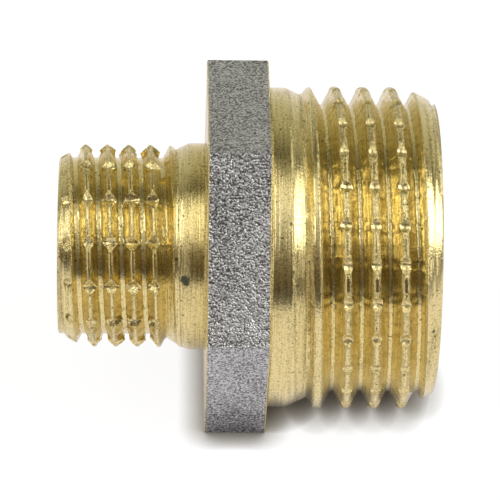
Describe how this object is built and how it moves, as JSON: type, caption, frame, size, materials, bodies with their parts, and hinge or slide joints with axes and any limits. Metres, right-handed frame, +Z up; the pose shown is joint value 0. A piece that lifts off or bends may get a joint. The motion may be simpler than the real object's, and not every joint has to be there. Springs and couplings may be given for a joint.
{
  "type": "reducing nipple",
  "caption": "Brass hexagon reducing nipple with a male pipe thread of a different size at each end and a stepped bore, for joining pipe runs of two sizes.",
  "frame": {"origin": "on the axis of the bore, at the middle of the hexagon's width", "axes": "+X along the axis towards the large threaded end, +Z up from the level hexagon flat that the nipple lies on"},
  "size_m": [0.0243, 0.0242, 0.021],
  "materials": {
    "brass": "turned, with dull grey-brown hexagon flats"
  },
  "bodies": {
    "root": {"nipple_body": "brass"}
  },
  "joints": []
}
